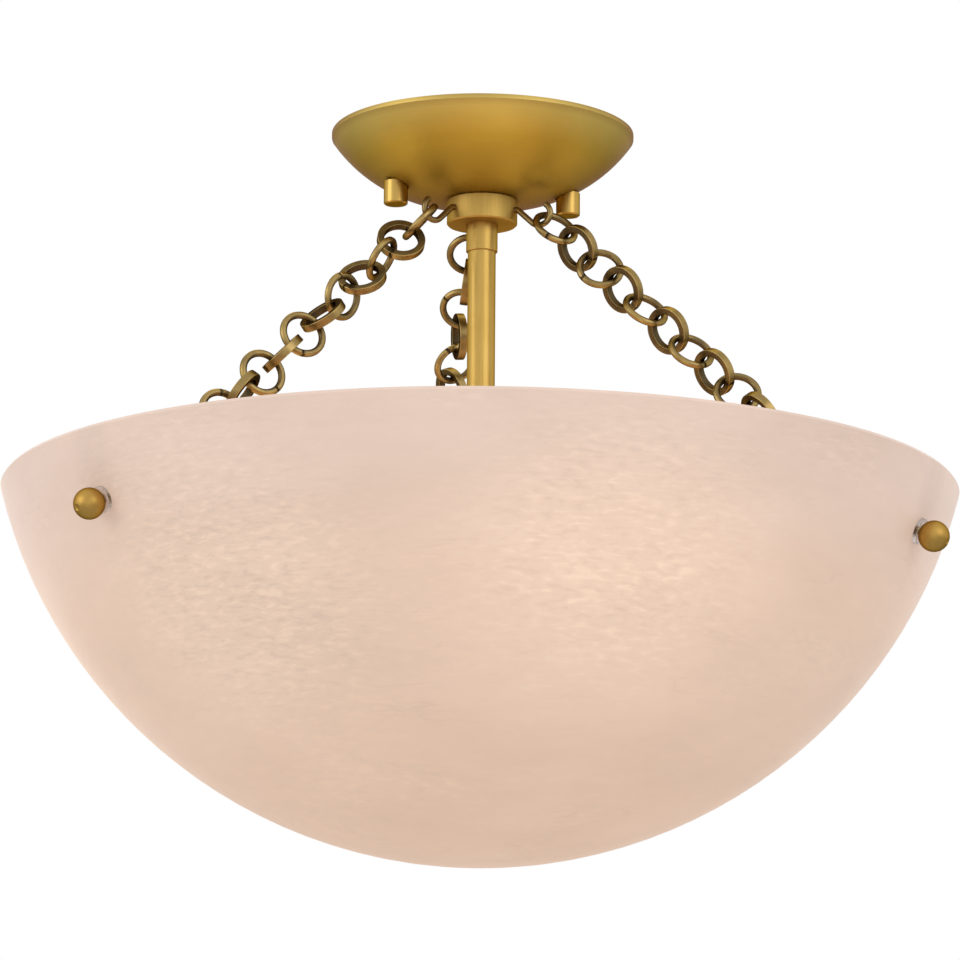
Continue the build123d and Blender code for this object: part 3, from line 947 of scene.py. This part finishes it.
@dataclass(frozen=True)
class Canopy:
    """Canopy, its two knobs, and the plate and hardware hidden above it."""

    knob_division: float = 38.0
    knob_azimuths: tuple[tuple[str, float], ...] = (("left", -77.0), ("right", 103.0))

    def dress(self) -> None:
        """Gives the canopy round brushing, its knobs upright brushing and the hardware its plating."""
        dish = BrushedBrass(
            Grain.ROUND,
            bright=(0.71, 0.56, 0.155),
            deep=(0.60, 0.47, 0.12),
            roughness=0.48,
            lines=0.6,
            limb=(0.21, 0.13, 0.44),
            drop=0.029,
            # Painted shade: darker at the top edge and towards the hub.
            ages=(
                (0.0, (0.66, 0.58, 0.62)),
                (0.07, (0.85, 0.79, 0.82)),
                (0.16, (1.0, 1.0, 1.0)),
                (0.50, (0.80, 0.75, 0.44)),
                (1.0, (0.68, 0.62, 0.36)),
            ),
        )
        dress(dish, "canopy")
        for side, azimuth in self.knob_azimuths:
            spot = outward(azimuth) * self.knob_division * MM
            turned = BrushedBrass(Grain.ALONG, (spot.x, spot.y), roughness=0.31)
            dress(turned, f"canopy_knob_{side}")
        dress(ZINC, "mounting_plate", "canopy_studs", "stud_lock_nuts")
        dress(GREEN_PLATE, "ground_screw")


@dataclass(frozen=True)
class HubAndStem:
    """Hub, collar, stem and the three wire hooks in the hub, in millimetres."""

    hub_radius: float = 15.15
    hook_z: float = -34.5
    hook_seat: float = 5.0
    bend: float = 2.5
    bend_stand: float = 1.2
    loop: float = 4.9
    loop_stand: float = 11.205
    loop_drop: float = 2.713
    sweep: float = 189.0
    wire_radius: float = 1.3

    @property
    def loop_centre(self) -> tuple[float, float]:
        """Distance from the middle, and height, of a hook's loop."""
        return self.hub_radius + self.loop_stand, self.hook_z - self.loop_drop

    def dress(self) -> None:
        """Gives the turned brass its brushing and the nipple its plating."""
        drum = BrushedBrass(Grain.ALONG, bright=(0.60, 0.415, 0.12), roughness=0.50, lines=0.8)
        dress(drum, "hub")
        dress(BrushedBrass(Grain.ALONG), "stem_collar", "stem_tube")
        dress(ZINC, "hub_nipple", "nipple_washer", "nipple_lock_nut")

    def hook_path(self) -> list[Vector]:
        """Draws a hook in its upright plane: out of the hub, straight down a slope, round its loop.

        Returns:
            The wire's middle line, as distances from the middle and heights.
        """
        corner, loop_centre = (self.hub_radius + self.bend_stand, self.hook_z), self.loop_centre
        sight = math.atan2(self.hook_z - loop_centre[1], loop_centre[0] - corner[0])
        fall = sight + math.asin(self.loop / math.dist(corner, loop_centre))
        trim = self.bend * math.tan(fall / 2)
        turn = math.degrees(fall)
        path = [Vector((self.hub_radius - self.hook_seat, self.hook_z, 0.0))]
        path += arc((corner[0] - trim, self.hook_z - self.bend), self.bend, 90.0, -turn, 8)
        path += arc(loop_centre, self.loop, 270.0 - turn, self.sweep, 40)
        return path

    def build_hook(self, side: Side) -> None:
        """Bends one hook of round wire.

        Args:
            side: the chain that it holds.
        """
        out, up = outward(side.value), Vector((0.0, 0.0, 1.0))
        draft = MeshDraft()
        draft.wire([out * p.x + up * p.y for p in self.hook_path()], self.wire_radius)
        draft.piece(
            f"hook_{side.label}",
            AGED_BRASS,
            "fixture",
            slot="aged_brass",
            stands_for=[f"hub_hook_{side.label}"],
        )


@dataclass(frozen=True)
class Chain:
    """Chain of split rings from a hook to an eye, in millimetres.

    The rings are of eased bar and of flat bar by turns. SEAMS gives the angle of each ring's split and
    ROLLS its roll round the chain, both in degrees.
    """

    side: Side
    hub: HubAndStem
    eye_centre: tuple[float, float]
    hook_reach: float = 10.1
    eye_reach: float = 9.197
    longest_pitch: float = 14.4
    ring_radius: float = 10.25
    bar_depth: float = 2.9
    bar_width: float = 3.4
    edge: float = 0.3
    split: float = 1.0
    # Painted shade: over this share of the split's angle, each end of a ring is painted dark like the
    # gap.
    split_shade_share: float = 0.6

    SEAMS = {
        Side.LEFT: (225, 10, 190, 350, 252, 170, 39, 10, 87, 190),
        Side.RIGHT: (291, 350, 96, 10, 190, 170, 10, 350, 190, 10),
        Side.BACK: (170, 190, 243, 10, 150, 350, 10, 190, 350, 170),
    }
    ROLLS = {
        Side.LEFT: (-20, 50, 135, 30, 105, 3, 72, 165, 75, 145),
        Side.RIGHT: (-30, 55, 125, 55, 150, 55, 145, 50, 125, 35),
        Side.BACK: (-5, 80, 165, 95, 20, 120, 30, 120, 30, 120),
    }

    @property
    def slope(self) -> float:
        """Fall of the chain from the hook to the eye, in degrees."""
        hook, eye = self.hub.loop_centre, self.eye_centre
        return math.degrees(math.atan2(hook[1] - eye[1], eye[0] - hook[0]))

    @property
    def run(self) -> float:
        """Distance between the centres of the first and the last ring."""
        return math.dist(self.hub.loop_centre, self.eye_centre) - self.hook_reach - self.eye_reach

    @property
    def count(self) -> int:
        """Number of rings."""
        return math.ceil(self.run / self.longest_pitch) + 1

    def normal(self, index: int) -> Vector:
        """Finds the axis of a ring: across the chain, and rolled round it.

        Args:
            index: the ring's number from the hook. The last two rolls go on to the chain's end.

        Returns:
            The axis as a unit vector.
        """
        rolls = self.ROLLS[self.side]
        listed = index if index < len(rolls) else len(rolls) - 2 + (index - len(rolls)) % 2
        along, level = sloping(self.side.value, self.slope), level_across(self.side.value)
        angle = math.radians(rolls[listed])
        return along.cross(level) * math.cos(angle) + level * math.sin(angle)

    def place(self, index: int) -> Matrix:
        """Finds the frame of a ring.

        Args:
            index: the ring's number from the hook.

        Returns:
            The frame, with X along the chain and Z along the ring's axis.
        """
        x, z = self.hub.loop_centre
        along = sloping(self.side.value, self.slope)
        start = outward(self.side.value) * x + Vector((0.0, 0.0, z))
        centre = start + along * (self.hook_reach + self.run / (self.count - 1) * index)
        return basis(centre, along, self.normal(index))

    def eased_section(self) -> list[tuple[float, float, float]]:
        """Draws the section of an even ring's bar: eight flats with rubbed corners.

        Returns:
            Its points, as radius, height and burnish.
        """
        middle, flat = self.ring_radius - self.bar_depth / 2, self.bar_depth / 2
        aside = flat * math.tan(math.radians(22.5)) - self.edge * 0.5
        points = []
        for flat_number in range(8):
            turn = math.radians(flat_number * 45.0)
            for end in (-aside, aside):
                r = flat * math.cos(turn) - end * math.sin(turn)
                h = flat * math.sin(turn) + end * math.cos(turn)
                points.append((middle + r, h, 0.50 + 0.20 * r / flat))
        return points

    def flat_section(self) -> list[tuple[float, float, float]]:
        """Draws the section of an odd ring's flat bar, with rubbed edges.

        Returns:
            Its points, as radius, height and burnish.
        """
        outer, inner = self.ring_radius, self.ring_radius - self.bar_depth
        half, edge = self.bar_width / 2, self.edge
        upper = [
            (outer, half - edge, 0.60),
            (outer - edge * 0.3, half - edge * 0.3, 1.0),
            (outer - edge, half, 0.35),
            (inner + edge, half, 0.25),
            (inner + edge * 0.3, half - edge * 0.3, 0.55),
            (inner, half - edge, 0.10),
        ]
        return upper + [(r, -h, shine) for r, h, shine in reversed(upper)]

    def add_ring(self, draft: MeshDraft, index: int, steps: int = 72) -> None:
        """Bends one split ring.

        Args:
            draft: the draft that takes it.
            index: the ring's number from the hook.
            steps: the number of chords.
        """
        place, seams = self.place(index), self.SEAMS[self.side]
        seam = seams[index % len(seams)]
        section = self.flat_section() if index % 2 else self.eased_section()
        # Painted shade: the short rows at both ends of the split are painted dark, for the shade in the
        # split's gap.
        whole, split_shade_span, dark = 360.0 - self.split, self.split * self.split_shade_share, -1.0
        for first, last, count in ((0.0, split_shade_span, 1), (split_shade_span, whole - split_shade_span, steps), (whole - split_shade_span, whole, 1)):
            angles = [math.radians(seam + first + (last - first) * i / count) for i in range(count + 1)]
            rows = [[place @ polar(r, angle, h) for r, h, _ in section] for angle in angles]
            at_split = count == 1
            wear_and_shade = [rubbed + (dark if at_split else 0.0) for _, _, rubbed in section]
            draft.skin(rows, capped=at_split, wear_and_shade=wear_and_shade)

    def build(self) -> None:
        """Links all the rings of the chain."""
        draft = MeshDraft()
        for index in range(self.count):
            self.add_ring(draft, index)
        node = f"chain_{self.side.label}"
        draft.piece(
            f"rings_{self.side.label}",
            AGED_BRASS,
            node,
            slot="aged_brass",
            stands_for=[node],
            sharp=50.0,
            flats=True,
        )


@dataclass(frozen=True)
class Bowl:
    """Alabaster bowl with its eye bolts, washers, nuts and ball finials, in millimetres."""

    rim_radius: float = 203.2
    depth: float = 158.0
    rim_drop: float = 158.0
    wall: float = 10.0
    bolt_angle: float = 22.6
    eye_stand: float = 12.246
    eye_loop: float = 4.55
    wire_radius: float = 1.3
    shank_radius: float = 2.08
    shank_ease: float = 0.3
    neck_length: float = 1.6
    thread_depth: float = 0.3
    thread_pitch: float = 0.8
    washer_height: float = 1.3
    ball_radius: float = 6.5
    ball_flat: float = 5.75
    ball_ease: float = 0.15
    dimple_radius: float = 1.5
    dimple_depth: float = 0.5
    running: float = 0.05

    @property
    def sphere_radius(self) -> float:
        """Radius of the outer surface."""
        return (self.rim_radius**2 + self.depth**2) / (2 * self.depth)

    @property
    def sphere_z(self) -> float:
        """Height of the sphere's centre."""
        return -self.rim_drop - self.depth + self.sphere_radius

    @property
    def eye_reach(self) -> float:
        """Distance of an eye from the sphere's centre."""
        return self.sphere_radius - self.wall - self.eye_stand

    @property
    def eye_centre(self) -> tuple[float, float]:
        """Distance from the middle, and height, of an eye."""
        drop = math.radians(self.bolt_angle)
        return self.eye_reach * math.cos(drop), self.sphere_z - self.eye_reach * math.sin(drop)

    def bolt_place(self, side: Side) -> Matrix:
        """Frame at the sphere's centre whose Z runs out along an eye bolt."""
        centre = Vector((0.0, 0.0, self.sphere_z))
        return basis(centre, level_across(side.value), sloping(side.value, self.bolt_angle))

    def glow_spot(self, lamp: "Lamp") -> tuple[float, float, float]:
        """Finds where a lamp's axis meets the outer surface.

        Args:
            lamp: the lamp.

        Returns:
            The point in metres.
        """
        way = sloping(lamp.arm.value, lamp.droop)
        start = Vector((0.0, 0.0, lamp.axis_z - self.sphere_z))
        back = start.dot(way)
        along = math.sqrt(back**2 - start.length_squared + self.sphere_radius**2) - back
        return tuple((way * along + Vector((0.0, 0.0, lamp.axis_z))) * MM)

    def dress(self, lamps: Sequence["Lamp"]) -> None:
        """Gives the stone its finish, lit by the lamps, and the small hardware its own.

        Args:
            lamps: the lamps inside the bowl.
        """
        drop = self.sphere_radius * math.sin(math.radians(self.bolt_angle))
        stone = Alabaster(
            glows=tuple(self.glow_spot(lamp) for lamp in lamps),
            bolt_azimuths=tuple(side.value for side in Side),
            rim=-self.rim_drop * MM,
            foot=-(self.rim_drop + self.depth) * MM,
            bolt_height=(self.sphere_z - drop) * MM,
        )
        dress(stone, "alabaster_bowl")
        dress(ClearPlastic(), "outer_washers")
        dress(AGED_BRASS, "inner_washers", "inner_nuts")

    def build_eye_bolt(self, chain: Chain) -> None:
        """Bends an eye square to the chain's last ring, and cuts the thread on its shank.

        Args:
            chain: the chain that the eye holds.
        """
        place = self.bolt_place(chain.side)
        axis = place.to_3x3() @ Vector((0.0, 0.0, 1.0))
        across = chain.normal(chain.count - 1)
        eye = basis(place.translation + axis * self.eye_reach, axis, across.cross(axis))
        draft = MeshDraft()
        ring = arc((0.0, 0.0), self.eye_loop, 0.0, 360.0, 48)[:-1]
        draft.wire([eye @ p for p in ring], self.wire_radius, closed=True)
        neck = self.eye_reach + self.eye_loop
        seat, end = neck + self.neck_length, self.sphere_radius + self.washer_height
        shank, sides = self.shank_radius, 32
        outline = [
            (0.0, neck),
            (self.wire_radius * 0.8, neck),
            (shank - self.shank_ease, seat),
            (0.0, seat),
        ]
        draft.turned(outline, place, sides)
        draft.threaded(shank, self.thread_depth, self.thread_pitch, seat, end, place, sides)
        draft.piece(
            f"eye_{chain.side.label}",
            AGED_BRASS,
            "bowl",
            slot="aged_brass",
            stands_for=[f"eye_bolt_{chain.side.label}"],
        )

    def ball_outline(self) -> list[tuple[float, float]]:
        """Draws a ball finial's half section, from its flat side to its centre mark.

        Returns:
            Its points, as radius and height from the ball's middle.
        """
        radius, dimple, depth = self.ball_radius, self.dimple_radius, self.dimple_depth
        low = -math.degrees(math.asin(self.ball_flat / radius))
        high = math.degrees(math.acos(dimple / radius))
        floor = radius * math.sin(math.radians(high)) - depth
        return [
            (0.0, -self.ball_flat),
            (radius * math.cos(math.radians(low)) - self.ball_ease, -self.ball_flat),
            *((p.x, p.y) for p in arc((0.0, 0.0), radius, low, high - low, 44)),
            (dimple * 0.86, floor + depth * 0.45),
            (dimple * 0.5, floor + depth * 0.1),
            (0.0, floor),
        ]

    def build_ball(self, side: Side) -> None:
        """Turns one ball finial with a flat towards the wall and a small centre mark outside.

        Args:
            side: the chain whose eye bolt it screws onto.
        """
        place = self.bolt_place(side)
        axis = place.to_3x3() @ Vector((0.0, 0.0, 1.0))
        flat = self.sphere_radius + self.washer_height + self.running
        middle = place.translation + axis * (flat + self.ball_flat)
        draft = MeshDraft()
        draft.turned(self.ball_outline(), Matrix.Identity(4), 64)
        rubbed = 0.8
        draft.wear_and_shade = [rubbed] * len(draft.points)
        draft.piece(
            f"ball_{side.label}",
            BALL_BRASS,
            f"ball_{side.label}",
            slot="aged_brass",
            stands_for=[f"ball_finial_{side.label}"],
            place=metres(basis(middle, level_across(side.value), axis)),
        )


@dataclass(frozen=True)
class Lamp:
    """Socket nipple, lampholder, contacts and bulb on one arm, in millimetres."""

    arm: Arm
    droop: float = 15.0
    axis_z: float = -170.0
    cap_tip: float = 42.0
    cap_radius: float = 13.0
    cap_length: float = 25.0
    thread_depth: float = 0.9
    thread_pitch: float = 3.63
    glass_radius: float = 30.0
    neck_radius: float = 12.5
    neck_length: float = 6.0
    glass_length: float = 85.0
    flare_angle: float = 28.0

    @property
    def place(self) -> Matrix:
        """Frame on the stem's axis whose Z runs out along the lamp."""
        axis = sloping(self.arm.value, self.droop)
        return basis(Vector((0.0, 0.0, self.axis_z)), level_across(self.arm.value), axis)

    def dress(self) -> None:
        """Gives the CAD pieces of the lampholder their finishes."""
        number = self.arm.number
        dress(ZINC, f"socket_nipple_{number}")
        dress(Porcelain(), f"lampholder_{number}")
        dress(CONTACT_METAL, f"screw_shell_{number}", f"centre_contact_{number}")

    def flare(self, low: float, end: Vector) -> list[tuple[float, float]]:
        """Draws the curve from the neck to the round end, smooth at both.

        Args:
            low: height of the curve's foot.
            end: radius and height of its top.

        Returns:
            Its points between the two ends, as radius and height.
        """
        reach, steps, foot_pull = end.y - low, 14, 2.0
        top_pull = math.sin(math.radians(self.flare_angle)) * reach
        points = []
        for i in range(1, steps):
            t = i / steps
            radius = (
                (2 * t**3 - 3 * t**2 + 1) * self.neck_radius
                + (t**3 - 2 * t**2 + t) * foot_pull
                + (3 * t**2 - 2 * t**3) * end.x
                + (t**3 - t**2) * top_pull
            )
            points.append((radius, low + reach * t))
        return points

    def build_glass(self) -> None:
        """Blows the pear-shaped glass, with a smooth flare from its neck to its round end."""
        low = self.cap_tip + self.cap_length
        centre = low + self.glass_length - self.glass_radius
        turned_back = -self.flare_angle
        dome = arc((0.0, centre), self.glass_radius, turned_back, 90.0 - turned_back, 40)
        outline = [
            (self.neck_radius * 0.9, low),
            (self.neck_radius, low + 0.6),
            (self.neck_radius, low + 3.0),
            *self.flare(low + self.neck_length, dome[0]),
            *((p.x, p.y) for p in dome),
        ]
        draft = MeshDraft()
        draft.turned(outline, Matrix.Identity(4))
        number = self.arm.number
        dim_below, bright_above = low + 4.0, centre + 12.0
        draft.piece(
            f"bulb_envelope_{number}",
            LitGlass(dim_below * MM, bright_above * MM),
            f"bulb_{number}",
            slot="bulb_glass",
            stands_for=[f"bulb_glass_{number}"],
            place=metres(self.place),
        )

    def build_cap(self) -> None:
        """Rolls the screw cap with its thread, and adds the insulator and the tip contact."""
        low, high = self.cap_tip, self.cap_tip + self.cap_length
        radius, depth, local = self.cap_radius, self.thread_depth, Matrix.Identity(4)
        thread_low, thread_high = low + 5.8, high - 2.0
        foot = [
            (0.0, low),
            (radius * 0.28, low + 0.1),
            (radius * 0.38, low + 0.9),
            (radius * 0.42, low + 1.4),
            (radius * 0.78, low + 4.4),
            (radius * 0.9, low + 5.0),
            (radius - depth, thread_low),
        ]
        collar = [(radius - depth, thread_high), (radius * 0.97, high), (0.0, high)]
        draft = MeshDraft()
        draft.turned(foot, local)
        draft.threaded(radius, depth, self.thread_pitch, thread_low, thread_high, local, 64)
        draft.turned(collar, local)
        number = self.arm.number
        draft.piece(
            f"bulb_screw_{number}",
            CAP_METAL,
            f"bulb_{number}",
            slot="bulb_cap",
            stands_for=[f"bulb_cap_{number}"],
            place=metres(self.place),
        )


@dataclass(frozen=True)
class Cluster:
    """Cup at the stem's foot that carries the three lamps."""

    def dress(self) -> None:
        """Gives the cup, its cover and finial brushed brass, and the rod its plating."""
        dress(BrushedBrass(Grain.ROUND, lines=0.8), "cluster_body", "cluster_cover", "cluster_finial")
        dress(ZINC, "cluster_rod")


# Studio


@dataclass(frozen=True)
class Softbox:
    """A square lamp, in metres."""

    name: str
    azimuth: float
    elevation: float
    distance: float
    size: float
    brightness: float

    def light(self, target: Vector) -> None:
        """Hangs the lamp so that it faces a point.

        Args:
            target: the point that it faces.
        """
        data = bpy.data.lights.new(self.name, "AREA")
        data.shape = "SQUARE"
        data.size = self.size
        data.energy = self.brightness * math.pi * self.size**2
        lamp = bpy.data.objects.new(self.name, data)
        rise = math.radians(self.elevation)
        way = outward(self.azimuth) * math.cos(rise) + Vector((0.0, 0.0, math.sin(rise)))
        lamp.location = target + way * self.distance
        lamp.rotation_euler = (-way).to_track_quat("-Z", "Y").to_euler()
        bpy.context.scene.collection.objects.link(lamp)


@dataclass(frozen=True)
class Studio:
    """Pale floor, white surroundings, soft lamps and the camera.

    Sizes and places are in metres, the camera's angles in radians and its lens in millimetres.
    """

    eye: tuple[float, float, float] = (0.0, -2.1971, -0.6254)
    pitch: float = 0.2123
    roll: float = 0.0079
    lens: float = 198.3
    sensor: float = 36.0
    floor_z: float = -1.6
    floor_size: float = 40.0
    floor_colour: Colour = (0.80, 0.79, 0.78)
    ambient: float = 0.55
    middle: tuple[float, float, float] = (0.0, 0.0, -0.16)
    lamps: tuple[Softbox, ...] = (
        Softbox("left softbox", -62.0, 14.0, 2.6, 1.6, 1.6),
        Softbox("right softbox", 42.0, 20.0, 2.8, 1.7, 1.3),
        Softbox("front softbox", -4.0, -14.0, 3.4, 2.3, 0.6),
        Softbox("top softbox", 180.0, 62.0, 2.6, 1.6, 1.4),
    )

    def lay_floor(self) -> None:
        """Lays the plain floor with a faint unevenness."""
        material = bpy.data.materials.new("pale floor")
        material.use_nodes = True
        net = Net(material.node_tree)
        cloud = net.noise(net.place(), 2.0, 2.0)
        tone = net.mix(cloud, tuple(c * 0.99 for c in self.floor_colour), self.floor_colour)
        net.surface({"Base Color": tone, "Roughness": 0.9})
        half = self.floor_size / 2
        mesh = bpy.data.meshes.new("floor")
        corners = [(-half, -half), (half, -half), (half, half), (-half, half)]
        mesh.from_pydata([(x, y, self.floor_z) for x, y in corners], [], [(0, 1, 2, 3)])
        mesh.materials.append(material)
        floor = bpy.data.objects.new("floor", mesh)
        bpy.context.scene.collection.objects.link(floor)

    def fill_world(self) -> None:
        """Lights from all round, and shows white to the camera and in metal and glass."""
        world = bpy.data.worlds.new("studio")
        world.use_nodes = True
        bpy.context.scene.world = world
        net = Net(world.node_tree)
        camera = net.node("ShaderNodeLightPath", output="Is Camera Ray")
        seen = camera + net.other(camera, "Is Glossy Ray") + net.other(camera, "Is Transmission Ray")
        colour = net.mix(seen.between(0.0, 1.0), (self.ambient,) * 3, (1.0, 1.0, 1.0))
        background = net.node("ShaderNodeBackground", sockets={"Color": colour, "Strength": 1.0})
        net.node("ShaderNodeOutputWorld", sockets={"Surface": background})

    def light(self) -> None:
        """Hangs the soft lamps."""
        for lamp in self.lamps:
            lamp.light(Vector(self.middle))

    def aim_camera(self) -> None:
        """Sets the camera low in front, looking a little up."""
        ahead = Vector((0.0, math.cos(self.pitch), math.sin(self.pitch)))
        right = Vector((1.0, 0.0, 0.0))
        up = right.cross(ahead)
        x = right * math.cos(self.roll) + up * math.sin(self.roll)
        y = up * math.cos(self.roll) - right * math.sin(self.roll)
        data = bpy.data.cameras.new("camera")
        data.lens, data.sensor_width = self.lens, self.sensor
        data.clip_start, data.clip_end = 0.05, 100.0
        camera = bpy.data.objects.new("camera", data)
        turn = Matrix((x, y, -ahead)).transposed().to_4x4()
        camera.matrix_world = Matrix.Translation(self.eye) @ turn
        bpy.context.scene.collection.objects.link(camera)
        bpy.context.scene.camera = camera

    def build(self) -> None:
        """Sets up the whole studio."""
        bpy.context.scene.view_settings.view_transform = "Standard"
        self.lay_floor()
        self.fill_world()
        self.light()
        self.aim_camera()
        log.info("studio set with %d softboxes", len(self.lamps))


def main() -> None:
    """Builds the light from the ceiling down, then the studio."""
    logging.basicConfig(level=logging.INFO, format="%(message)s")
    hub, bowl, cluster = HubAndStem(), Bowl(), Cluster()
    lamps = [Lamp(arm) for arm in Arm]
    Canopy().dress()
    hub.dress()
    for side in Side:
        hub.build_hook(side)
        chain = Chain(side, hub, bowl.eye_centre)
        chain.build()
        bowl.build_eye_bolt(chain)
        bowl.build_ball(side)
    bowl.dress(lamps)
    cluster.dress()
    for lamp in lamps:
        lamp.dress()
        lamp.build_cap()
        lamp.build_glass()
    Studio().build()


if __name__ == "__main__":
    main()
